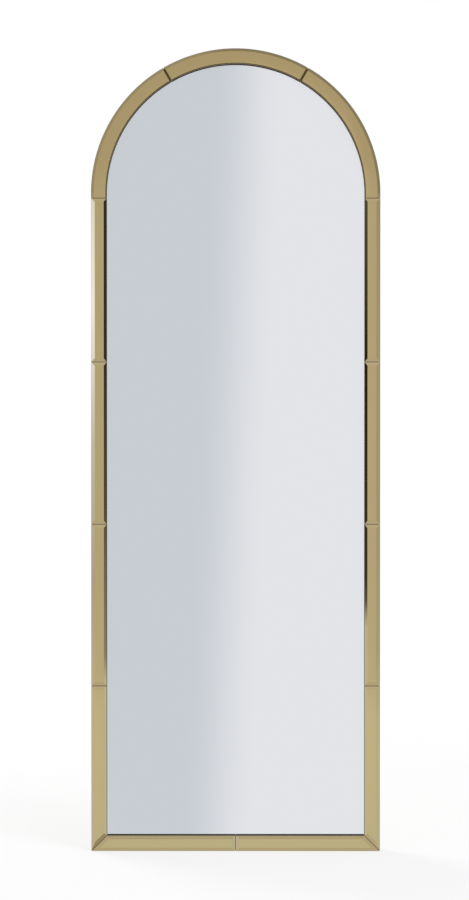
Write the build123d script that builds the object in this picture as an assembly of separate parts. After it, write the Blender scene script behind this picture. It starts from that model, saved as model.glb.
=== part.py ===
from build123d import *
import math
import os

# Arched wall mirror with a raised border of bevelled, gold-tinted mirror strips.
# Millimetres. +X is the viewer's right, the mirror faces -Y, the wall is on the +Y side and +Z is up.
# The origin is under the middle of the bottom edge, half way through the depth.

# Outline
WIDTH = 648.0
HEIGHT = 1800.0
ARCH_RADIUS = WIDTH / 2
SPRING_HEIGHT = HEIGHT - ARCH_RADIUS

# Thickness of each layer, from the wall to the front
BUMPER_THICKNESS = 3.0
BATTEN_THICKNESS = 12.0
PANEL_THICKNESS = 12.0
BORDER_THICKNESS = 15.0
TAPE_THICKNESS = 0.5
STRIP_THICKNESS = 5.0
ADHESIVE_THICKNESS = 1.0
MIRROR_THICKNESS = 4.0

# Tinted strips. A bevel leaves an edge standing that is thinner than the glass.
STRIP_WIDTH = 34.5
STRIP_EDGE = 3.0
SIDE_OUTER_BEVEL = 8.5
SIDE_INNER_BEVEL = 6.0
BOTTOM_BEVEL = 7.5
END_BEVEL = 8.0
ARCH_OUTER_BEVEL = 6.3
ARCH_INNER_BEVEL = 2.2
ARCH_INNER_EDGE = 3.8
ARCH_END_BEVEL = 2.2
ARCH_PIECE_ANGLE = 60.0
ARCH_STUB = 10.5
SIDE_JOINT_HEIGHTS = (371.5, 734.5, 1098.5)
SIDE_GAP = 0.7
ARCH_GAP = 1.5

# Wooden border, set back a little under both edges of the strips
BORDER_SETBACK = 1.5
MIRROR_CLEARANCE = 1.0

# Bonding
TAPE_WIDTH = 22.0
TAPE_END_GAP = 6.0
BEAD_WIDTH = 8.0
BEAD_SPACING = 80.0
BEADS_EACH_SIDE = 3
BEAD_MARGIN = 45.0

# Battens behind the panel
BATTEN_WIDTH = 60.0
BATTEN_SIDE_INSET = 40.0
BATTEN_BOTTOM = 40.0
BATTEN_TOP = 1440.0
BATTEN_MIDDLE = 735.0
BATTEN_EASED_EDGE = 1.5

# Rubber wall bumpers
BUMPER_RADIUS = 11.0
BUMPER_CHAMFER = 0.8
BUMPER_END_INSET = 30.0

# Strap hangers: a strap folded round the straight bar of a D-ring
HANGER_X = 170.0
HINGE_HEIGHT = 1332.0
LEAF_THICKNESS = 1.5
FOLD_GAP = 0.1
STRAP_WIDTH = 20.0
STRAP_LENGTH = 62.0
STRAP_CORNER = 6.0
STRAP_JOGGLE = 10.0
WIRE_RADIUS = 2.0
WIRE_CLEARANCE = 0.1
RING_HALF_WIDTH = 15.5
RING_CORNER = 4.5
RING_LEG = 4.0
RING_LEAN = 5.0
STRAP_SCREW_DROPS = (19.0, 35.0, 51.0)

# Countersunk screws
SCREW_RADIUS = 1.75
SCREW_HEAD_RADIUS = 3.5
SCREW_HEAD_HEIGHT = 2.2
SCREW_TIP = 3.0
RECESS_LENGTH = 3.6
RECESS_WIDTH = 0.8
RECESS_DEPTH = 1.5
HANGER_SCREW_LENGTH = 12.5
BATTEN_SCREW_LENGTH = 20.0
BORDER_SCREW_LENGTH = 20.0

# Where the screws stand: heights on uprights, distances from the centre line on rails, degrees round the arch
BATTEN_UPRIGHT_SCREWS = (110.0, 420.0, 800.0, 1110.0, 1350.0)
BATTEN_RAIL_SCREW_X = 120.0
BORDER_UPRIGHT_SCREWS = (60.0, 410.0, 760.0, 1110.0, 1440.0)
BORDER_ARCH_SCREWS = (20.0, 50.0, 80.0)
BORDER_BOTTOM_SCREWS = (80.0, 230.0)

# Places along Y, worked out from the layers
DEPTH = (
    BUMPER_THICKNESS + BATTEN_THICKNESS + PANEL_THICKNESS
    + BORDER_THICKNESS + TAPE_THICKNESS + STRIP_THICKNESS
)
WALL_Y = DEPTH / 2
BATTEN_BACK = WALL_Y - BUMPER_THICKNESS
PANEL_BACK = BATTEN_BACK - BATTEN_THICKNESS
PANEL_FRONT = PANEL_BACK - PANEL_THICKNESS
BORDER_FRONT = PANEL_FRONT - BORDER_THICKNESS
STRIP_BACK = BORDER_FRONT - TAPE_THICKNESS
MIRROR_BACK = PANEL_FRONT - ADHESIVE_THICKNESS

# Places worked out from the outline
ARCH_JOINT_HEIGHT = SPRING_HEIGHT - ARCH_STUB
BORDER_MIDDLE_INSET = STRIP_WIDTH / 2
BATTEN_OUTER_X = WIDTH / 2 - BATTEN_SIDE_INSET
BATTEN_INNER_X = BATTEN_OUTER_X - BATTEN_WIDTH
BATTEN_CENTRE_X = BATTEN_OUTER_X - BATTEN_WIDTH / 2
HINGE_Y = PANEL_BACK + LEAF_THICKNESS + WIRE_RADIUS + WIRE_CLEARANCE


def layer(face, back, thickness):
    """A face drawn in X and Z, given a thickness from its back, at Y = back, towards the front."""
    return extrude(Plane.XZ.offset(-back) * face, amount=thickness)


def arch_face(inset):
    """The mirror's arched outline, drawn in by inset all round."""
    half = WIDTH / 2 - inset
    edges = [
        Line((-half, inset), (half, inset)),
        Line((half, inset), (half, SPRING_HEIGHT)),
        ThreePointArc((half, SPRING_HEIGHT), (0, SPRING_HEIGHT + half), (-half, SPRING_HEIGHT)),
        Line((-half, SPRING_HEIGHT), (-half, inset)),
    ]
    return make_face(edges)


def rectangle_face(x_low, x_high, z_low, z_high):
    centre = Pos((x_low + x_high) / 2, (z_low + z_high) / 2)
    return centre * Rectangle(x_high - x_low, z_high - z_low)


def mirrored(solid):
    """The same piece on the other side of the centre line."""
    return mirror(solid, about=Plane.YZ)


def inset_corners(corners, insets):
    """Moves each edge of a convex polygon inwards. Edge i runs from corner i to the next one, anticlockwise."""
    lines = []
    for index, (x1, z1) in enumerate(corners):
        x2, z2 = corners[(index + 1) % len(corners)]
        length = math.hypot(x2 - x1, z2 - z1)
        along = ((x2 - x1) / length, (z2 - z1) / length)
        inward = (-along[1], along[0])
        start = (x1 + inward[0] * insets[index], z1 + inward[1] * insets[index])
        lines.append((start, along))
    moved = []
    for index in range(len(lines)):
        (ax, az), (adx, adz) = lines[index - 1]
        (bx, bz), (bdx, bdz) = lines[index]
        run = ((bx - ax) * bdz - (bz - az) * bdx) / (adx * bdz - adz * bdx)
        moved.append((ax + adx * run, az + adz * run))
    return moved


def polygon_face(corners):
    return make_face(Polyline(*corners, close=True))


def bevelled_strip(nominal_corners, gaps, bevels):
    """A flat glass strip with straight edges: the joint gaps come off its outline, then each edge is bevelled."""
    outline = inset_corners(nominal_corners, gaps)
    flat = inset_corners(outline, bevels)
    edge_front = STRIP_BACK - STRIP_EDGE
    glass_front = STRIP_BACK - STRIP_THICKNESS
    base = layer(polygon_face(outline), STRIP_BACK, STRIP_EDGE)
    crown = loft(
        [
            Plane.XZ.offset(-edge_front) * polygon_face(outline),
            Plane.XZ.offset(-glass_front) * polygon_face(flat),
        ],
        ruled=True,
    )
    return base + crown


def side_strips():
    """The four strips of the left side, from the bottom up. The lowest is mitred into the bottom corner."""
    outer = -WIDTH / 2
    inner = outer + STRIP_WIDTH
    half_gap = SIDE_GAP / 2
    strips = []
    heights = (0.0, *SIDE_JOINT_HEIGHTS, ARCH_JOINT_HEIGHT)
    for index in range(len(heights) - 1):
        low, high = heights[index], heights[index + 1]
        inner_low = STRIP_WIDTH if index == 0 else low
        corners = [(outer, low), (inner, inner_low), (inner, high), (outer, high)]
        gaps = [half_gap, 0.0, half_gap, 0.0]
        bevels = [END_BEVEL, SIDE_INNER_BEVEL, END_BEVEL, SIDE_OUTER_BEVEL]
        strips.append(bevelled_strip(corners, gaps, bevels))
    return strips


def bottom_strip():
    """The left half of the bottom border, mitred into the corner and square at the middle joint."""
    corner = -WIDTH / 2
    corners = [(corner, 0.0), (0.0, 0.0), (0.0, STRIP_WIDTH), (corner + STRIP_WIDTH, STRIP_WIDTH)]
    half_gap = SIDE_GAP / 2
    gaps = [0.0, half_gap, 0.0, half_gap]
    bevels = [BOTTOM_BEVEL, END_BEVEL, BOTTOM_BEVEL, END_BEVEL]
    return bevelled_strip(corners, gaps, bevels)


def arch_strip_section():
    """The section of a curved strip, drawn in X and Y at the right end of the arch."""
    outer = ARCH_RADIUS
    inner = ARCH_RADIUS - STRIP_WIDTH
    front = STRIP_BACK - STRIP_THICKNESS
    points = [
        (inner, STRIP_BACK),
        (outer, STRIP_BACK),
        (outer, STRIP_BACK - STRIP_EDGE),
        (outer - ARCH_OUTER_BEVEL, front),
        (inner + ARCH_INNER_BEVEL, front),
        (inner, STRIP_BACK - ARCH_INNER_EDGE),
    ]
    return Pos(0, 0, SPRING_HEIGHT) * make_face(Polyline(*points, close=True))


def swept_round_arch(section, start_angle, end_angle):
    """Turns a section at the right end of the arch anticlockwise round the arch's centre."""
    axis = Axis((0, 0, SPRING_HEIGHT), (0, -1, 0))
    turned = revolve(section, axis=axis, revolution_arc=end_angle - start_angle)
    return turned.rotate(axis, start_angle)


def arch_end_wedge(end_angle):
    """What comes off the front edge of a curved strip whose square end lies at end_angle."""
    front = STRIP_BACK - STRIP_THICKNESS
    deep = STRIP_THICKNESS - ARCH_INNER_EDGE
    points = [
        (front - deep, SPRING_HEIGHT - 2 * ARCH_END_BEVEL),
        (front + 2 * deep, SPRING_HEIGHT + ARCH_END_BEVEL),
        (front - deep, SPRING_HEIGHT + ARCH_END_BEVEL),
    ]
    inner = ARCH_RADIUS - STRIP_WIDTH
    wedge = extrude(Plane.YZ.offset(inner - deep) * polygon_face(points), amount=STRIP_WIDTH + 2 * deep)
    return wedge.rotate(Axis((0, 0, SPRING_HEIGHT), (0, -1, 0)), end_angle)


def arch_strips():
    """The right-hand curved strip, which runs on straight for a short stub, and the top one."""
    gap_angle = math.degrees(ARCH_GAP / (ARCH_RADIUS - STRIP_WIDTH / 2))
    section = arch_strip_section()
    side_end = ARCH_PIECE_ANGLE - gap_angle / 2
    curved = swept_round_arch(section, 0.0, side_end) - arch_end_wedge(side_end)
    stub = extrude(section, amount=ARCH_STUB - SIDE_GAP / 2, dir=(0, 0, -1))
    top_start = ARCH_PIECE_ANGLE + gap_angle / 2
    top_wedge = arch_end_wedge(180.0 - top_start)
    top = swept_round_arch(section, top_start, 180.0 - top_start) - top_wedge - mirrored(top_wedge)
    return curved + stub, top


def border_pieces():
    """The raised wooden border: two stiles, a bottom rail between them and two quarter arches."""
    ring = arch_face(BORDER_SETBACK) - arch_face(STRIP_WIDTH - BORDER_SETBACK)
    stile_inner = -WIDTH / 2 + STRIP_WIDTH - BORDER_SETBACK
    stile = ring & rectangle_face(-WIDTH / 2, stile_inner, 0.0, SPRING_HEIGHT)
    rail = ring & rectangle_face(stile_inner, -stile_inner, 0.0, STRIP_WIDTH)
    quarter = ring & rectangle_face(-WIDTH / 2, 0.0, SPRING_HEIGHT, HEIGHT)
    return [layer(face, PANEL_FRONT, BORDER_THICKNESS) for face in (stile, rail, quarter)]


def tape_pieces():
    """Double-sided tape under every strip, short of each joint."""
    edge = (STRIP_WIDTH - TAPE_WIDTH) / 2
    outer = -WIDTH / 2 + edge
    left = []
    heights = (STRIP_WIDTH - TAPE_END_GAP, *SIDE_JOINT_HEIGHTS, ARCH_JOINT_HEIGHT)
    for low, high in zip(heights, heights[1:]):
        face = rectangle_face(outer, outer + TAPE_WIDTH, low + TAPE_END_GAP, high - TAPE_END_GAP)
        left.append(layer(face, BORDER_FRONT, TAPE_THICKNESS))
    bottom = rectangle_face(-WIDTH / 2 + STRIP_WIDTH, -TAPE_END_GAP, edge, edge + TAPE_WIDTH)
    left.append(layer(bottom, BORDER_FRONT, TAPE_THICKNESS))
    section = make_face(
        Polyline(
            (-outer - TAPE_WIDTH, BORDER_FRONT),
            (-outer, BORDER_FRONT),
            (-outer, STRIP_BACK),
            (-outer - TAPE_WIDTH, STRIP_BACK),
            close=True,
        )
    )
    section = Pos(0, 0, SPRING_HEIGHT) * section
    end_angle = math.degrees(TAPE_END_GAP / ARCH_RADIUS)
    arcs = []
    for start in (0.0, ARCH_PIECE_ANGLE, 2 * ARCH_PIECE_ANGLE):
        arcs.append(swept_round_arch(section, start + end_angle, start + ARCH_PIECE_ANGLE - end_angle))
    return left + [mirrored(piece) for piece in left] + arcs


def adhesive_beads():
    """Upright beads of adhesive behind the mirror, each stopping short of the arch."""
    reach = ARCH_RADIUS - STRIP_WIDTH - BEAD_MARGIN
    beads = []
    for index in range(-BEADS_EACH_SIDE, BEADS_EACH_SIDE + 1):
        x = index * BEAD_SPACING
        top = SPRING_HEIGHT + math.sqrt(reach**2 - x**2)
        low = STRIP_WIDTH + BEAD_MARGIN
        face = rectangle_face(x - BEAD_WIDTH / 2, x + BEAD_WIDTH / 2, low, top)
        beads.append(layer(face, PANEL_FRONT, ADHESIVE_THICKNESS))
    return beads


def screw_body(length):
    """A countersunk screw with its head's face at Y = 0 and its point towards -Y, with no recess."""
    points = [
        (0, 0),
        (SCREW_HEAD_RADIUS, 0),
        (SCREW_RADIUS, -SCREW_HEAD_HEIGHT),
        (SCREW_RADIUS, SCREW_TIP - length),
        (0, -length),
    ]
    return revolve(make_face(Polyline(*points, close=True)), axis=Axis.Y)


def screw(length):
    """The finished screw, with a cross recess in its head."""
    slot = Box(RECESS_LENGTH, 2 * RECESS_DEPTH, RECESS_WIDTH)
    return screw_body(length) - slot - slot.rotate(Axis.Y, 90)


def at_each(piece, places):
    """Copies of one piece, as separate solids."""
    return [Pos(*place) * piece for place in places]


def hanger_screw_places():
    head_y = PANEL_BACK + 2 * LEAF_THICKNESS + FOLD_GAP
    return [(HANGER_X, head_y, HINGE_HEIGHT - drop) for drop in STRAP_SCREW_DROPS]


def batten_screw_places():
    """Screws through the battens into the panel, on the right-hand half."""
    places = [(BATTEN_CENTRE_X, BATTEN_BACK, z) for z in BATTEN_UPRIGHT_SCREWS]
    rail_heights = (BATTEN_BOTTOM + BATTEN_WIDTH / 2, BATTEN_MIDDLE, BATTEN_TOP - BATTEN_WIDTH / 2)
    places += [(BATTEN_RAIL_SCREW_X, BATTEN_BACK, z) for z in rail_heights]
    return places


def border_screw_places():
    """Screws through the panel into the border, on the right-hand half."""
    x = WIDTH / 2 - BORDER_MIDDLE_INSET
    places = [(x, PANEL_BACK, z) for z in BORDER_UPRIGHT_SCREWS]
    radius = ARCH_RADIUS - BORDER_MIDDLE_INSET
    for angle in BORDER_ARCH_SCREWS:
        turn = math.radians(angle)
        places.append((radius * math.cos(turn), PANEL_BACK, SPRING_HEIGHT + radius * math.sin(turn)))
    places += [(at, PANEL_BACK, BORDER_MIDDLE_INSET) for at in BORDER_BOTTOM_SCREWS]
    return places


def both_sides(places):
    return places + [(-x, y, z) for x, y, z in places]


def batten(x_low, x_high, z_low, z_high):
    """A batten with its long rear edges eased."""
    block = layer(rectangle_face(x_low, x_high, z_low, z_high), BATTEN_BACK, BATTEN_THICKNESS)
    along = Axis.Z if z_high - z_low > x_high - x_low else Axis.X
    rear_edges = block.faces().sort_by(Axis.Y)[-1].edges().filter_by(along)
    return chamfer(rear_edges, BATTEN_EASED_EDGE)


def bumper(x, z):
    disc = Pos(x, BATTEN_BACK + BUMPER_THICKNESS / 2, z) * Rot(90, 0, 0)
    disc = disc * Cylinder(BUMPER_RADIUS, BUMPER_THICKNESS)
    return chamfer(disc.faces().sort_by(Axis.Y)[-1].edges(), BUMPER_CHAMFER)


def hanger_strap():
    """The right-hand strap: one leaf on the panel, the eye round the ring's bar, the other leaf folded back."""
    eye = WIRE_RADIUS + WIRE_CLEARANCE + LEAF_THICKNESS / 2
    rear_leaf = LEAF_THICKNESS + FOLD_GAP - eye
    reach = math.hypot(rear_leaf, STRAP_JOGGLE)
    leave = math.atan2(-STRAP_JOGGLE, rear_leaf) + math.acos(eye / reach)
    leave_point = (eye * math.cos(leave), eye * math.sin(leave))
    path = [
        Line((-eye, -STRAP_LENGTH), (-eye, 0)),
        ThreePointArc((-eye, 0), (0, eye), leave_point),
        Line(leave_point, (rear_leaf, -STRAP_JOGGLE)),
        Line((rear_leaf, -STRAP_JOGGLE), (rear_leaf, -STRAP_LENGTH)),
    ]
    profile = trace(path, LEAF_THICKNESS)
    strap = extrude(Plane.YZ * profile, amount=STRAP_WIDTH / 2, both=True)
    outline = Rectangle(STRAP_WIDTH, 2 * STRAP_LENGTH)
    outline = fillet(outline.vertices().group_by(Axis.Y)[0], STRAP_CORNER)
    strap = strap & extrude(Plane.XZ * outline, amount=3 * eye, both=True)
    strap = Pos(HANGER_X, HINGE_Y, HINGE_HEIGHT) * strap
    for cutter in at_each(screw_body(HANGER_SCREW_LENGTH), hanger_screw_places()):
        strap = strap - cutter
    return strap


def hanger_ring():
    """The right-hand D-ring, hanging from its straight bar with its bow leaning on the strap."""
    section = Circle(WIRE_RADIUS)
    bar_half = RING_HALF_WIDTH - RING_CORNER
    bar = extrude(Plane.YZ * section, amount=bar_half, both=True)
    corner_axis = Axis((bar_half, 0, -RING_CORNER), (0, 1, 0))
    corner = revolve(Plane.YZ.offset(bar_half) * section, axis=corner_axis, revolution_arc=90)
    leg_top = Plane.XY.offset(-RING_CORNER) * Pos(RING_HALF_WIDTH, 0) * section
    leg = extrude(leg_top, amount=RING_LEG, dir=(0, 0, -1))
    bow_drop = RING_CORNER + RING_LEG
    bow_start = Plane.XY.offset(-bow_drop) * Pos(RING_HALF_WIDTH, 0) * section
    bow = revolve(bow_start, axis=Axis((0, 0, -bow_drop), (0, 1, 0)), revolution_arc=180)
    ring = bar + corner + mirrored(corner) + leg + mirrored(leg) + bow
    return Pos(HANGER_X, HINGE_Y, HINGE_HEIGHT) * ring.rotate(Axis.X, RING_LEAN)


def drilled(solid, cutters):
    for cutter in cutters:
        solid = solid - cutter
    return solid


def save(name, solids):
    """Writes one node: a single solid, or a group of separate ones."""
    shape = Compound(solids) if isinstance(solids, list) else solids
    export_step(shape, f"parts/{name}.step")


os.makedirs("parts", exist_ok=True)

# Tinted strips
for number, strip in enumerate(side_strips(), start=1):
    save(f"strip_left_{number}", strip)
    save(f"strip_right_{number}", mirrored(strip))
left_bottom = bottom_strip()
save("strip_bottom_left", left_bottom)
save("strip_bottom_right", mirrored(left_bottom))
right_arch, top_arch = arch_strips()
save("strip_arch_right", right_arch)
save("strip_arch_left", mirrored(right_arch))
save("strip_arch_top", top_arch)
save("strip_tape", tape_pieces())

# Mirror and its adhesive
mirror_inset = STRIP_WIDTH - BORDER_SETBACK + MIRROR_CLEARANCE
save("centre_mirror", layer(arch_face(mirror_inset), MIRROR_BACK, MIRROR_THICKNESS))
save("mirror_adhesive", adhesive_beads())

# Screws, and plain copies of them that drill the wood
border_places = both_sides(border_screw_places())
batten_places = both_sides(batten_screw_places())
hanger_places = both_sides(hanger_screw_places())
border_cutters = at_each(screw_body(BORDER_SCREW_LENGTH), border_places)
batten_cutters = at_each(screw_body(BATTEN_SCREW_LENGTH), batten_places)
hanger_cutters = at_each(screw_body(HANGER_SCREW_LENGTH), hanger_places)
save("border_screws", at_each(screw(BORDER_SCREW_LENGTH), border_places))
save("batten_screws", at_each(screw(BATTEN_SCREW_LENGTH), batten_places))
save("hanger_screws", at_each(screw(HANGER_SCREW_LENGTH), hanger_places))

# Wooden border and backing panel
stile, rail, quarter = border_pieces()
save("border_left", drilled(stile, border_cutters))
save("border_right", drilled(mirrored(stile), border_cutters))
save("border_bottom", drilled(rail, border_cutters))
save("border_arch_left", drilled(quarter, border_cutters))
save("border_arch_right", drilled(mirrored(quarter), border_cutters))
panel = layer(arch_face(BORDER_SETBACK), PANEL_BACK, PANEL_THICKNESS)
save("backing_panel", drilled(panel, border_cutters + batten_cutters + hanger_cutters))

# Battens
right_stile = batten(BATTEN_INNER_X, BATTEN_OUTER_X, BATTEN_BOTTOM, BATTEN_TOP)
save("batten_right", drilled(right_stile, batten_cutters))
save("batten_left", drilled(mirrored(right_stile), batten_cutters))
half = BATTEN_WIDTH / 2
rail_middles = {
    "batten_bottom": BATTEN_BOTTOM + half,
    "batten_middle": BATTEN_MIDDLE,
    "batten_top": BATTEN_TOP - half,
}
for name, middle in rail_middles.items():
    cross_rail = batten(-BATTEN_INNER_X, BATTEN_INNER_X, middle - half, middle + half)
    save(name, drilled(cross_rail, batten_cutters))

# Wall bumpers
bumper_low = BATTEN_BOTTOM + BUMPER_END_INSET
bumper_high = BATTEN_TOP - BUMPER_END_INSET
save("bumper_bottom_right", bumper(BATTEN_CENTRE_X, bumper_low))
save("bumper_bottom_left", bumper(-BATTEN_CENTRE_X, bumper_low))
save("bumper_top_right", bumper(BATTEN_CENTRE_X, bumper_high))
save("bumper_top_left", bumper(-BATTEN_CENTRE_X, bumper_high))

# Hangers
strap = hanger_strap()
save("hanger_strap_right", strap)
save("hanger_strap_left", mirrored(strap))
ring = hanger_ring()
save("hanger_ring_right", ring)
save("hanger_ring_left", mirrored(ring))
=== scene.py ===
"""Looks of the arched wall mirror: materials, the studio it reflects, floor, lamps and camera."""

import bpy
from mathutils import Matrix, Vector


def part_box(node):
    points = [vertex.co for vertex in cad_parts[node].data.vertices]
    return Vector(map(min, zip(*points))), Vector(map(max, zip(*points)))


# Camera, in metres, and its lens in millimetres on a 36 mm sensor
CAMERA_PLACE = Vector((0.020, -6.30, 1.00))
CAMERA_AIM = Vector((-0.0026, 0.0, 0.9009))
CAMERA_LENS = 112.02

# Lamps for the back and the floor: name, place, aim, size in metres and power in watts
LAMPS = (
    ("back_key", (-2.6, 3.4, 3.2), (0.0, 0.0, 0.9), 2.2, 130.0),
    ("front_key", (2.6, -3.4, 3.4), (0.0, 0.0, 0.8), 2.4, 110.0),
)
WHITE = (1.0, 1.0, 1.0)
EVEN_LIGHT = (0.62, 0.62, 0.62)

# The floor: half its side, and the distances from the middle over which it fades to pure white
FLOOR_HALF_SIDE = 60.0
FLOOR_COLOUR = (0.86, 0.86, 0.86)
FLOOR_FADE = (0.6, 3.0)
FLOOR_WHITE_NEAR = 0.74

# The strip border, from the frame's own sizes
SPRING_HEIGHT = 1.476
STRIP_THICKNESS = 0.005
STRIP_EDGE = 0.003
ARRIS = 0.00035

# How squarely a face looks to the front or the back, where 1 is squarely
EDGE_TO_FACE = (0.6, 0.8)
SEAM_TO_FACE = (0.90, 0.93)

# Colours of mirror glass, linear
SILVER = (0.900, 0.900, 0.900)
SILVER_EDGE = (0.10, 0.19, 0.16)
GOLD_FULL = (0.660, 0.525, 0.262)
GOLD_THIN = (0.675, 0.550, 0.310)
# Painted shade: a dark brown that stands in for the dark reflection on the steep seam bevels
SEAM_PAINTED_SHADE = (0.150, 0.110, 0.042)
GOLD_EDGE = (0.090, 0.062, 0.022)
ARRIS_SHADE = 0.72

# Colours of the other surfaces, each as a pair from dark to light where the surface varies
PAINT = ((0.032, 0.027, 0.018), (0.053, 0.046, 0.031))
BOARD = ((0.34, 0.228, 0.128), (0.48, 0.342, 0.205))
BOARD_FLECK = (0.19, 0.12, 0.065)
PINE_LATE = (0.47, 0.275, 0.115)
PINE_EARLY = (0.72, 0.53, 0.315)
KNOT = ((0.17, 0.075, 0.03), (0.31, 0.155, 0.065))
HANGER_ZINC = ((0.575, 0.58, 0.59), (0.63, 0.635, 0.64))
SCREW_ZINC = ((0.52, 0.51, 0.49), (0.60, 0.59, 0.57))
RUBBER = ((0.022, 0.022, 0.023), (0.055, 0.053, 0.050))
TAPE = ((0.015, 0.015, 0.016), (0.045, 0.045, 0.047))
ADHESIVE = ((0.66, 0.64, 0.58), (0.78, 0.76, 0.71))

# The card that the middle mirror reflects, in metres: a grey side, a pale side and the line between
CARD_GREY = (0.642, 0.678, 0.723)
CARD_PALE = (0.853, 0.862, 0.897)
CARD_LINE_FOOT = -0.0435
CARD_LINE_SLOPE = 0.0415
CARD_LINE_SOFT = 0.085
CARD_HALF_WIDTH = 0.2908
CARD_FOOT = 0.031
CARD_EDGE_SOFT = 0.0008

# Below, a direction is an azimuth toward +X and an elevation, both in degrees from straight ahead.

# The room in front: a grey middle that widens with the elevation, between two pale sides
ROOM_GREY = (0.66, 0.66, 0.66)
ROOM_PALE = (0.88, 0.88, 0.88)
ROOM_LOW = -25.0
ROOM_HALF_WIDTH_AT_LOW = 45.0
ROOM_WIDENS = 0.15
ROOM_SOFT = 1.3

# A ring overhead, which the arch's outer bevels reflect: paler on its left
RING_ELEVATION = 4.0
RING_RADIUS = 39.0
RING_HALF_WIDTH = 3.5
RING_SOFT = 1.5
RING_FOOT = (3.0, 5.0)
RING_TURN = (-14.0, -2.0)
RING_LEFT = (0.46, 0.46, 0.47)
RING_RIGHT = (0.35, 0.35, 0.36)

# Oblongs that the bevels at the strips' ends reflect: direction, half size, softness and colour
END_PATCHES = (
    ((0.0, 26.5), (15.0, 5.5), 0.6, (0.70, 0.70, 0.70)),
    # The bottom border's inner bevel, which looks up least
    ((0.0, 18.5), (15.0, 2.9), 0.6, (0.61, 0.61, 0.62)),
    ((0.0, -33.0), (13.0, 9.0), 1.0, (0.65, 0.65, 0.66)),
    # The bevel at the left mitre
    ((16.8, -29.8), (1.6, 4.0), 2.0, (0.32, 0.31, 0.29)),
)

# Straight ahead, as the strips' flat fronts see it: the zone, and its colours by elevation
AHEAD_ZONE = ((0.0, -1.5), (8.0, 14.0), 3.0)
AHEAD = (
    (-8.9, (0.73, 0.795, 0.835)),
    (-8.3, (0.785, 0.81, 0.81)),
    (-6.3, (0.80, 0.82, 0.82)),
    (-5.5, (0.705, 0.715, 0.71)),
    (-3.2, (0.67, 0.675, 0.68)),
    (4.0, (0.65, 0.655, 0.66)),
    (5.0, (0.595, 0.57, 0.555)),
)

# Tall panels for the side strips' long bevels: the azimuth of the middle and half the width, and
# the colours by elevation
LEFT_OUTER_PANEL = (-29.4, 2.0, (
    (-6.0, (0.76, 0.78, 0.88)),
    (-3.6, (0.64, 0.64, 0.78)),
    (-0.8, (0.78, 0.89, 1.28)),
    (2.0, (1.29, 1.50, 2.44)),
    (4.5, (1.06, 1.20, 1.73)),
))
RIGHT_OUTER_PANEL = (29.4, 2.0, (
    (-6.5, (0.68, 0.77, 0.84)),
    (-5.0, (0.56, 0.60, 0.65)),
    (-2.0, (0.52, 0.55, 0.54)),
    (2.5, (0.53, 0.53, 0.51)),
    (4.0, (0.50, 0.49, 0.46)),
))
LEFT_INNER_PANEL = (34.0, 2.2, (
    (-5.6, (0.75, 0.80, 0.90)),
    (-5.1, (0.36, 0.36, 0.40)),
    (-3.0, (0.20, 0.19, 0.17)),
    (-2.0, (0.12, 0.105, 0.065)),
    (1.0, (0.05, 0.045, 0.03)),
))
RIGHT_INNER_PANEL = (-34.0, 2.2, (
    (-4.5, (0.77, 0.81, 0.90)),
    (-4.0, (0.15, 0.14, 0.12)),
    (-3.5, (0.06, 0.05, 0.035)),
    (1.0, (0.03, 0.025, 0.01)),
    (4.0, (0.11, 0.11, 0.11)),
))
PANELS = (LEFT_OUTER_PANEL, RIGHT_OUTER_PANEL, LEFT_INNER_PANEL, RIGHT_INNER_PANEL)
PANEL_SIDE_SOFT = 0.4
PANEL_ELEVATION = -3.0
PANEL_HALF_HEIGHT = 10.0
PANEL_END_SOFT = 1.0

# The span of elevations over which those colours are laid out
BAND_LOW = -12.0
BAND_HIGH = 8.0

# Half the width, as a part of 1, in which the front of the studio turns into its white back
BACK_SOFT = 0.05

# Numbers of the sockets of a Mix node that mixes colours
MIX_FACTOR = 0
MIX_FIRST = 6
MIX_SECOND = 7
MIX_RESULT = 2


def rgba(colour):
    """A colour as a socket takes it, from three numbers. A socket stays as it is."""
    return (*colour, 1.0) if isinstance(colour, tuple) else colour


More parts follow.
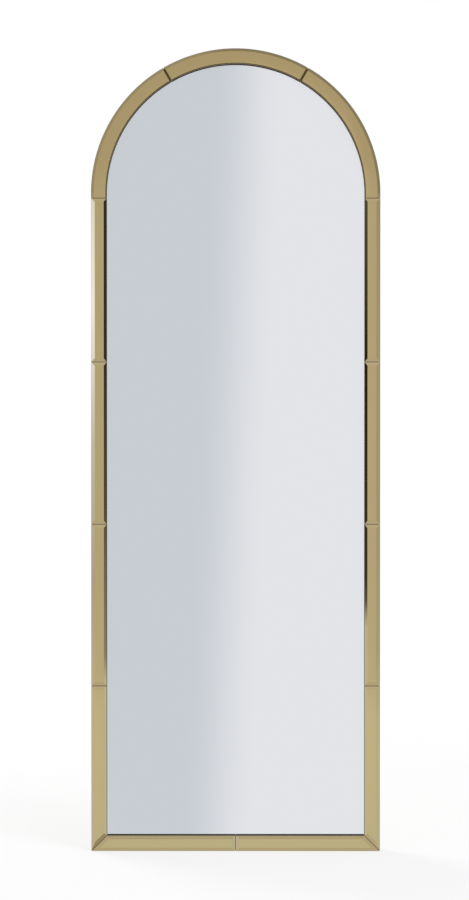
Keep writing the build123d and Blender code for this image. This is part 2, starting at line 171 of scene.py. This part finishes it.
class Tree:
    """Short calls that build a node tree, from sockets or plain values to an output socket."""

    def __init__(self, tree):
        self.tree = tree
        tree.nodes.clear()

    def node(self, kind, inputs=None, output=0, **settings):
        made = self.tree.nodes.new(kind)
        for name, value in settings.items():
            setattr(made, name, value)
        for name, value in (inputs or {}).items():
            socket = made.inputs[name]
            if isinstance(value, bpy.types.NodeSocket):
                self.tree.links.new(value, socket)
            else:
                socket.default_value = value
        return made.outputs[output] if made.outputs else None

    def math(self, operation, first, second=0.0):
        return self.node("ShaderNodeMath", {0: first, 1: second}, operation=operation)

    def length(self, first, second):
        squares = [self.math("MULTIPLY", side, side) for side in (first, second)]
        return self.math("SQRT", self.math("ADD", *squares))

    def step(self, value, low, high, at_low=0.0, at_high=1.0):
        """Goes smoothly from at_low to at_high as the value goes from low to high."""
        inputs = {
            "Value": value, "From Min": low, "From Max": high, "To Min": at_low, "To Max": at_high,
        }
        return self.node("ShaderNodeMapRange", inputs, interpolation_type="SMOOTHSTEP")

    def mix(self, factor, first, second, blend_type="MIX"):
        """From the first colour at 0 to the second at 1."""
        inputs = {MIX_FACTOR: factor, MIX_FIRST: rgba(first), MIX_SECOND: rgba(second)}
        settings = {"data_type": "RGBA", "blend_type": blend_type}
        return self.node("ShaderNodeMix", inputs, output=MIX_RESULT, **settings)

    def scaled(self, colour, factor):
        """A colour times a number."""
        grey = self.node("ShaderNodeCombineColor", {0: factor, 1: factor, 2: factor})
        return self.mix(1.0, colour, grey, blend_type="MULTIPLY")

    def colour_ramp(self, value, stops):
        """Colours along a value from 0 to 1. Each stop is a place and a colour."""
        socket = self.node("ShaderNodeValToRGB", {"Fac": value})
        elements = socket.node.color_ramp.elements
        while len(elements) < len(stops):
            elements.new(1.0)
        for element, (place, colour) in zip(elements, sorted(stops)):
            element.position = place
            element.color = rgba(colour)
        return socket

    def near(self, value, middle, half, soft):
        """1 where the value is within half of the middle, fading to 0 at its edges."""
        away = self.math("ABSOLUTE", self.math("SUBTRACT", value, middle))
        return self.step(away, half - soft, half + soft, at_low=1.0, at_high=0.0)

    def noise(self, vector, scale, detail, roughness=0.5):
        inputs = {"Vector": vector, "Scale": scale, "Detail": detail, "Roughness": roughness}
        return self.node("ShaderNodeTexNoise", inputs)

    def separate(self, vector):
        """The X, Y and Z of a vector."""
        return self.node("ShaderNodeSeparateXYZ", {0: vector}).node.outputs

    def coordinates(self, kind):
        return self.node("ShaderNodeTexCoord", output=kind)

    def place(self):
        """The point's place in the shared frame, which a CAD node's own coordinates are."""
        return self.coordinates("Object")

    def stretched(self, scale, shift=(0.0, 0.0, 0.0)):
        inputs = {"Vector": self.place(), "Scale": scale, "Location": shift}
        return self.node("ShaderNodeMapping", inputs)

    def bump(self, height, strength, distance):
        inputs = {"Height": height, "Strength": strength, "Distance": distance}
        return self.node("ShaderNodeBump", inputs)


def new_material(name):
    material = bpy.data.materials.new(name)
    material.use_nodes = True
    return material, Tree(material.node_tree)


def finish_material(tree, **sockets):
    """Ends a material in one surface shader. The names are its sockets', with _ for a space."""
    inputs = {key.replace("_", " "): value for key, value in sockets.items()}
    shader = tree.node("ShaderNodeBsdfPrincipled", inputs)
    tree.node("ShaderNodeOutputMaterial", {"Surface": shader})


def facing(tree):
    """How squarely a face looks to the front or the back, from 0 for an edge to 1."""
    _, toward_back, _ = tree.separate(tree.coordinates("Normal"))
    return tree.math("ABSOLUTE", toward_back)


def front_mask(tree):
    """1 on faces that look mostly to the front or the back, 0 on edges."""
    return tree.step(facing(tree), *EDGE_TO_FACE)


def arch_radius(tree, across, up):
    """How far out a place is: from the arch's centre in the arch, from the middle line below it."""
    above = tree.math("MAXIMUM", tree.math("SUBTRACT", up, SPRING_HEIGHT), 0.0)
    return tree.length(across, above)


def silver_mirror():
    material, tree = new_material("silver_mirror")
    face = front_mask(tree)
    haze = tree.noise(tree.place(), scale=9.0, detail=3.0)
    polish = tree.step(haze, 0.3, 0.8, at_low=0.012, at_high=0.022)
    ground_edge = tree.step(face, 0.0, 1.0, at_low=0.12, at_high=0.0)
    finish_material(
        tree,
        Base_Color=tree.mix(face, SILVER_EDGE, SILVER),
        Metallic=face,
        Roughness=tree.math("ADD", polish, ground_edge),
    )
    return material


def tinted_mirror(strip_front):
    """Gold mirror glass, lighter where a bevel thins it and dark on its arris, with painted shade
    on steep seams.
    """
    material, tree = new_material("tinted_mirror")
    _, depth, _ = tree.separate(tree.place())
    thinnest = strip_front + STRIP_THICKNESS - STRIP_EDGE
    tint = tree.mix(tree.step(depth, strip_front, thinnest), GOLD_FULL, GOLD_THIN)
    arris_from, arris_full = thinnest - ARRIS, thinnest - ARRIS / 2.0
    arris = tree.step(depth, arris_from, arris_full, at_low=1.0, at_high=ARRIS_SHADE)
    seam = tree.step(facing(tree), *SEAM_TO_FACE, at_low=1.0, at_high=0.0)
    # Steep seam faces get painted shade in place of the gold tint
    tint = tree.mix(seam, tree.scaled(tint, arris), SEAM_PAINTED_SHADE)
    face = front_mask(tree)
    haze = tree.noise(tree.place(), scale=14.0, detail=3.0)
    polish = tree.step(haze, 0.3, 0.8, at_low=0.018, at_high=0.032)
    seam_roughness = tree.math("MULTIPLY", seam, 0.15)
    finish_material(
        tree,
        Base_Color=tree.mix(face, GOLD_EDGE, tint),
        Metallic=face,
        Roughness=tree.math("ADD", polish, seam_roughness),
    )
    return material


def black_paint(tree):
    """Colour, roughness and height of black paint over fibreboard."""
    grain = tree.noise(tree.place(), scale=900.0, detail=3.0)
    patches = tree.noise(tree.place(), scale=12.0, detail=2.0)
    roughness = tree.step(patches, 0.3, 0.7, at_low=0.42, at_high=0.55)
    return tree.mix(patches, *PAINT), roughness, grain


def painted_board():
    material, tree = new_material("painted_board")
    colour, roughness, grain = black_paint(tree)
    finish_material(
        tree,
        Base_Color=colour,
        Roughness=roughness,
        Normal=tree.bump(grain, strength=0.25, distance=0.0002),
    )
    return material


def backing_board():
    """Raw fibreboard with its edges painted black."""
    material, tree = new_material("backing_board")
    fibres = tree.noise(tree.stretched((1.0, 1.0, 0.6)), scale=1700.0, detail=5.0, roughness=0.7)
    flecks = tree.noise(tree.place(), scale=2600.0, detail=2.0)
    clouds = tree.noise(tree.place(), scale=3.5, detail=4.0)
    raw = tree.mix(tree.step(fibres, 0.30, 0.72), *BOARD)
    raw = tree.mix(tree.step(flecks, 0.66, 0.74, at_low=0.0, at_high=0.45), raw, BOARD_FLECK)
    raw = tree.scaled(raw, tree.step(clouds, 0.25, 0.75, at_low=0.88, at_high=1.10))
    paint, paint_roughness, _ = black_paint(tree)
    face = front_mask(tree)
    rougher_raw = tree.math("MULTIPLY", face, 0.30)
    finish_material(
        tree,
        Base_Color=tree.mix(face, paint, raw),
        Roughness=tree.math("ADD", rougher_raw, paint_roughness),
        Normal=tree.bump(fibres, strength=0.3, distance=0.0003),
    )
    return material


def pine(name, along, seed):
    """Planed pine with its grain along X or Z, different in each batten."""
    material, tree = new_material(name)
    short, long = 1.0, 0.045
    scale = (long, short, short) if along == "X" else (short, short, long)
    shift = (seed * 0.37, seed * 0.61, seed * 0.83)
    grain_place = tree.stretched(scale, shift)
    x, _, z = tree.separate(grain_place)
    across = z if along == "X" else x

    # The rings run straight along the batten and drift a little
    drift = tree.noise(grain_place, scale=7.0, detail=2.0)
    rings_at = tree.math("ADD", tree.math("MULTIPLY", drift, 9.0), seed * 1.7)
    rings_at = tree.math("ADD", rings_at, tree.math("MULTIPLY", across, 95.0))
    rings = tree.math("FRACT", rings_at)
    darkening = tree.step(rings, 0.35, 0.92)
    ending = tree.step(rings, 0.94, 1.0, at_low=1.0, at_high=0.0)
    late_wood = tree.math("MULTIPLY", darkening, ending)
    fibres = tree.noise(grain_place, scale=900.0, detail=3.0, roughness=0.6)
    tone = tree.noise(tree.place(), scale=5.0, detail=2.0)
    colour = tree.mix(tree.math("MULTIPLY", late_wood, 0.62), PINE_EARLY, PINE_LATE)
    colour = tree.scaled(colour, tree.step(fibres, 0.25, 0.75, at_low=0.86, at_high=1.08))
    colour = tree.scaled(colour, tree.step(tone, 0.25, 0.75, at_low=0.93, at_high=1.06))

    # Small knots, here and there
    from_knot = tree.node(
        "ShaderNodeTexVoronoi",
        {"Vector": tree.stretched((0.7, 0.7, 0.7), shift), "Scale": 5.5, "Randomness": 1.0},
    )
    knot = tree.step(from_knot, 0.055, 0.085, at_low=1.0, at_high=0.0)
    knot_rings = tree.step(tree.math("SINE", tree.math("MULTIPLY", from_knot, 900.0)), -1.0, 1.0)
    colour = tree.mix(knot, colour, tree.mix(knot_rings, *KNOT))

    fibre_height = tree.math("MULTIPLY", fibres, 0.7)
    ring_height = tree.math("MULTIPLY", late_wood, 0.3)
    height = tree.math("ADD", fibre_height, ring_height)
    finish_material(
        tree,
        Base_Color=colour,
        Roughness=tree.step(fibres, 0.3, 0.7, at_low=0.52, at_high=0.66),
        Normal=tree.bump(height, strength=0.35, distance=0.0004),
    )
    return material


def zinc_steel(name, tones):
    """Zinc-plated steel with the plating's faint patches and fine drawing marks."""
    material, tree = new_material(name)
    patches = tree.noise(tree.place(), scale=480.0, detail=2.0)
    marks = tree.noise(tree.stretched((1.0, 1.0, 0.08)), scale=2600.0, detail=2.0)
    finish_material(
        tree,
        Base_Color=tree.mix(tree.step(patches, 0.35, 0.70), *tones),
        Metallic=1.0,
        Roughness=tree.step(marks, 0.3, 0.7, at_low=0.24, at_high=0.38),
        Normal=tree.bump(marks, strength=0.12, distance=0.0001),
    )
    return material


def bumper_rubber():
    material, tree = new_material("bumper_rubber")
    grain = tree.noise(tree.place(), scale=1800.0, detail=3.0)
    dust = tree.noise(tree.place(), scale=90.0, detail=4.0)
    finish_material(
        tree,
        Base_Color=tree.mix(tree.step(dust, 0.45, 0.75), *RUBBER),
        Roughness=tree.step(dust, 0.3, 0.7, at_low=0.62, at_high=0.82),
        Normal=tree.bump(grain, strength=0.3, distance=0.0002),
    )
    return material


def foam_tape():
    material, tree = new_material("tape")
    cells = tree.noise(tree.place(), scale=2400.0, detail=2.0)
    finish_material(
        tree,
        Base_Color=tree.mix(cells, *TAPE),
        Roughness=0.9,
        Normal=tree.bump(cells, strength=0.4, distance=0.0002),
    )
    return material


def adhesive():
    material, tree = new_material("adhesive")
    skin = tree.noise(tree.place(), scale=160.0, detail=3.0)
    finish_material(
        tree,
        Base_Color=tree.mix(skin, *ADHESIVE),
        Roughness=tree.step(skin, 0.3, 0.7, at_low=0.35, at_high=0.5),
        Normal=tree.bump(skin, strength=0.2, distance=0.0005),
    )
    return material


def dress(node, material):
    """Gives a CAD node one material in place of its packed one."""
    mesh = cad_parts[node].data
    mesh.materials.clear()
    mesh.materials.append(material)


def dress_nodes():
    strip_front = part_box("strip_left_1")[0].y
    gold = tinted_mirror(strip_front)
    board = painted_board()
    rubber = bumper_rubber()
    steel = zinc_steel("hanger_steel", HANGER_ZINC)
    screw_steel = zinc_steel("screw_steel", SCREW_ZINC)
    plain = {
        "centre_mirror": silver_mirror(),
        "backing_panel": backing_board(),
        "mirror_adhesive": adhesive(),
        "strip_tape": foam_tape(),
    }
    for seed, node in enumerate(sorted(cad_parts)):
        if node in plain:
            dress(node, plain[node])
        elif node.startswith("strip_"):
            dress(node, gold)
        elif node.endswith("screws"):
            dress(node, screw_steel)
        elif node.startswith("border_"):
            dress(node, board)
        elif node.startswith("batten_"):
            upright = node in ("batten_left", "batten_right")
            dress(node, pine(f"pine_{node}", "Z" if upright else "X", seed))
        elif node.startswith("bumper_"):
            dress(node, rubber)
        else:
            dress(node, steel)


def elevation_band(tree, elevation, stops):
    """Colours by elevation. Each stop is an elevation and a colour."""
    place = tree.step(elevation, BAND_LOW, BAND_HIGH)
    place.node.interpolation_type = "LINEAR"
    span = BAND_HIGH - BAND_LOW
    return tree.colour_ramp(place, [((at - BAND_LOW) / span, colour) for at, colour in stops])


def oblong(tree, azimuth, elevation, place, half, soft):
    """1 inside an oblong of directions, fading to 0 at its edges."""
    wide = tree.near(azimuth, place[0], half[0], soft)
    high = tree.near(elevation, place[1], half[1], soft)
    return tree.math("MULTIPLY", wide, high)


def on_card(tree, sideways, toward_front, at_camera):
    """Where a direction meets the card's plane, which lies as far in front as the camera does."""
    slope = tree.math("DIVIDE", sideways, toward_front)
    return tree.math("ADD", tree.math("MULTIPLY", slope, -CAMERA_PLACE.y), at_camera)


def front_card(tree, across, up, outside):
    """The card, cut to the mirror's arch and grey on its left, with the studio's rest outside."""
    line = tree.math("ADD", tree.math("MULTIPLY", up, CARD_LINE_SLOPE), CARD_LINE_FOOT)
    off_line = tree.math("SUBTRACT", across, line)
    paleness = tree.step(off_line, -CARD_LINE_SOFT, CARD_LINE_SOFT)
    two_tones = tree.mix(paleness, CARD_GREY, CARD_PALE)
    inside = tree.near(arch_radius(tree, across, up), 0.0, CARD_HALF_WIDTH, CARD_EDGE_SOFT)
    over_foot = tree.step(up, CARD_FOOT - CARD_EDGE_SOFT, CARD_FOOT + CARD_EDGE_SOFT)
    return tree.mix(tree.math("MULTIPLY", inside, over_foot), outside, two_tones)


def plain_room(tree, azimuth, elevation):
    """The grey room with its two pale sides."""
    rise = tree.math("SUBTRACT", elevation, ROOM_LOW)
    half_width = tree.math("ADD", tree.math("MULTIPLY", rise, ROOM_WIDENS), ROOM_HALF_WIDTH_AT_LOW)
    past = tree.math("SUBTRACT", tree.math("ABSOLUTE", azimuth), half_width)
    return tree.mix(tree.step(past, -ROOM_SOFT, ROOM_SOFT), ROOM_GREY, ROOM_PALE)


def overhead_ring(tree, azimuth, elevation, room):
    """Lays the ring over the room."""
    tone = tree.mix(tree.step(azimuth, *RING_TURN), RING_LEFT, RING_RIGHT)
    off_centre = tree.length(azimuth, tree.math("SUBTRACT", elevation, RING_ELEVATION))
    band = tree.near(off_centre, RING_RADIUS, RING_HALF_WIDTH, RING_SOFT)
    return tree.mix(tree.math("MULTIPLY", band, tree.step(elevation, *RING_FOOT)), room, tone)


def studio(tree):
    """The studio that the front of the mirror reflects, with white all round behind it."""
    x, y, z = tree.separate(tree.coordinates("Generated"))
    toward_front = tree.math("MULTIPLY", y, -1.0)
    azimuth = tree.math("DEGREES", tree.math("ARCTAN2", x, toward_front))
    elevation = tree.math("DEGREES", tree.math("ARCSINE", z))

    room = overhead_ring(tree, azimuth, elevation, plain_room(tree, azimuth, elevation))
    for place, half, soft, colour in END_PATCHES:
        room = tree.mix(oblong(tree, azimuth, elevation, place, half, soft), room, colour)
    ahead = elevation_band(tree, elevation, AHEAD)
    room = tree.mix(oblong(tree, azimuth, elevation, *AHEAD_ZONE), room, ahead)

    level = tree.near(elevation, PANEL_ELEVATION, PANEL_HALF_HEIGHT, PANEL_END_SOFT)
    for middle, half, stops in PANELS:
        wide = tree.near(azimuth, middle, half, PANEL_SIDE_SOFT)
        panel = elevation_band(tree, elevation, stops)
        room = tree.mix(tree.math("MULTIPLY", wide, level), room, panel)

    across = on_card(tree, x, toward_front, CAMERA_PLACE.x)
    up = on_card(tree, z, toward_front, CAMERA_PLACE.z)
    front = front_card(tree, across, up, room)
    return tree.mix(tree.step(toward_front, -BACK_SOFT, BACK_SOFT), WHITE, front)


def make_world():
    """White to the camera, the studio in the reflections, and an even light on everything else."""
    world = bpy.data.worlds.new("studio")
    world.use_nodes = True
    bpy.context.scene.world = world
    tree = Tree(world.node_tree)
    path = tree.node("ShaderNodeLightPath").node.outputs
    reflected = tree.math("MAXIMUM", path["Is Glossy Ray"], path["Is Transmission Ray"])
    seen = tree.mix(reflected, WHITE, studio(tree))
    is_seen = tree.math("MAXIMUM", reflected, path["Is Camera Ray"])
    colour = tree.mix(is_seen, EVEN_LIGHT, seen)
    background = tree.node("ShaderNodeBackground", {"Color": colour, "Strength": 1.0})
    tree.node("ShaderNodeOutputWorld", {"Surface": background})


def make_floor():
    """A floor that the camera sees as white, with a soft shadow. No reflection shows it."""
    corners = [(-1, -1), (1, -1), (1, 1), (-1, 1)]
    mesh = bpy.data.meshes.new("floor")
    vertices = [(x * FLOOR_HALF_SIDE, y * FLOOR_HALF_SIDE, 0.0) for x, y in corners]
    mesh.from_pydata(vertices, [], [tuple(range(len(corners)))])
    floor = bpy.data.objects.new("floor", mesh)
    bpy.context.scene.collection.objects.link(floor)
    floor.visible_glossy = False
    material, tree = new_material("floor")
    shade = tree.node("ShaderNodeBsdfDiffuse", {"Color": rgba(FLOOR_COLOUR)})
    white = tree.node("ShaderNodeEmission", {"Color": rgba(WHITE), "Strength": 1.0})
    camera = tree.node("ShaderNodeLightPath").node.outputs["Is Camera Ray"]
    x, y, _ = tree.separate(tree.place())
    whiteness = tree.step(tree.length(x, y), *FLOOR_FADE, at_low=FLOOR_WHITE_NEAR, at_high=1.0)
    factor = tree.math("MULTIPLY", camera, whiteness)
    mixed = tree.node("ShaderNodeMixShader", {0: factor, 1: shade, 2: white})
    tree.node("ShaderNodeOutputMaterial", {"Surface": mixed})
    mesh.materials.append(material)


def turned_to(aim, place):
    """The rotation of a lamp or a camera at a place that looks at the aim."""
    return (Vector(aim) - Vector(place)).to_track_quat("-Z", "Y").to_euler()


def area_lamp(name, place, aim, size, power):
    lamp = bpy.data.objects.new(name, bpy.data.lights.new(name, "AREA"))
    lamp.data.size = size
    lamp.data.energy = power
    lamp.location = place
    lamp.rotation_euler = turned_to(aim, place)
    lamp.visible_glossy = False
    bpy.context.scene.collection.objects.link(lamp)


def make_camera():
    camera = bpy.data.objects.new("camera", bpy.data.cameras.new("camera"))
    camera.data.lens = CAMERA_LENS
    camera.location = CAMERA_PLACE
    camera.rotation_euler = turned_to(CAMERA_AIM, CAMERA_PLACE)
    bpy.context.scene.collection.objects.link(camera)
    bpy.context.scene.camera = camera


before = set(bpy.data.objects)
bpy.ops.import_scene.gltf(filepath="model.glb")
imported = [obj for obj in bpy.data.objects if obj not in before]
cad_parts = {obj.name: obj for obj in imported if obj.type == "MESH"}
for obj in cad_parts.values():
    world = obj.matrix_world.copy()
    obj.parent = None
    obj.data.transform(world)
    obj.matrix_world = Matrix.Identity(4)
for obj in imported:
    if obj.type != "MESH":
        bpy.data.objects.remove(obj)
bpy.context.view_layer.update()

dress_nodes()
make_world()
make_floor()
for lamp in LAMPS:
    area_lamp(*lamp)
make_camera()

bpy.context.scene.view_settings.view_transform = "Standard"
